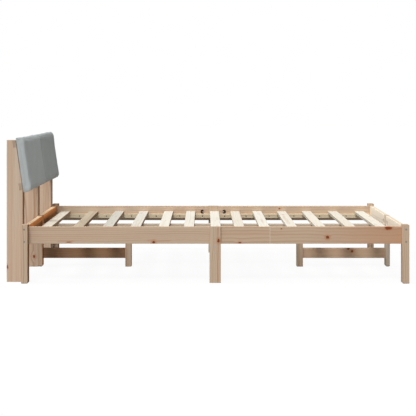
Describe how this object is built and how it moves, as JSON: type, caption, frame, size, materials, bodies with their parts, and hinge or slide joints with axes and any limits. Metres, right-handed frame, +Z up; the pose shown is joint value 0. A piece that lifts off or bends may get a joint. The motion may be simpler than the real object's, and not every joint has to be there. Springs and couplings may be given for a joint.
{
  "type": "bed frame",
  "caption": "Low pine bed frame with a slatted base, square legs and centre supports, and a headboard of upright fins that carry slanted padded cushions.",
  "frame": {"origin": "centre of the overall box at floor level, under the middle of the bed", "axes": "+X from the headboard towards the foot, +Y across the bed, to the right when seen from the foot end looking towards the headboard, +Z up"},
  "size_m": [2.141, 1.327, 0.7722],
  "materials": {
    "pine": "clear satin varnish",
    "cushion_fabric": "plain grey woven cover",
    "steel": "zinc-plated",
    "beech": "turned and fluted, unvarnished"
  },
  "bodies": {
    "root": {"batten_screws": "steel", "centre_beam_foot": "pine", "centre_beam_head": "pine", "centre_leg_foot": "pine", "centre_leg_head": "pine", "centre_post_foot": "pine", "centre_post_head": "pine", "corner_screws": "steel", "cross_beam_screws": "steel", "cushion_left": "cushion_fabric", "cushion_right": "cushion_fabric", "dowels": "beech", "fin_bolts": "steel", "foot_leg_left": "pine", "foot_leg_right": "pine", "foot_rail_left": "pine", "foot_rail_right": "pine", "head_leg_left": "pine", "head_leg_right": "pine", "head_rail_left": "pine", "head_rail_right": "pine", "headboard_batten_lower": "pine", "headboard_batten_upper": "pine", "headboard_fin_centre": "pine", "headboard_fin_left": "pine", "headboard_fin_right": "pine", "ledger_left_foot": "pine", "ledger_left_head": "pine", "ledger_left_middle": "pine", "ledger_right_foot": "pine", "ledger_right_head": "pine", "ledger_right_middle": "pine", "leg_screws": "steel", "low_stretcher_foot": "pine", "low_stretcher_head": "pine", "middle_cross_beam": "pine", "middle_leg_left": "pine", "middle_leg_right": "pine", "rail_joint_nuts": "steel", "rail_joint_rods": "steel", "rail_joint_washers": "steel", "side_rail_left_foot": "pine", "side_rail_left_head": "pine", "side_rail_right_foot": "pine", "side_rail_right_head": "pine", "slat_01": "pine", "slat_02": "pine", "slat_03": "pine", "slat_04": "pine", "slat_05": "pine", "slat_06": "pine", "slat_07": "pine", "slat_08": "pine", "slat_09": "pine", "slat_10": "pine", "slat_11": "pine", "slat_12": "pine", "slat_13": "pine", "slat_screws": "steel"}
  },
  "joints": []
}
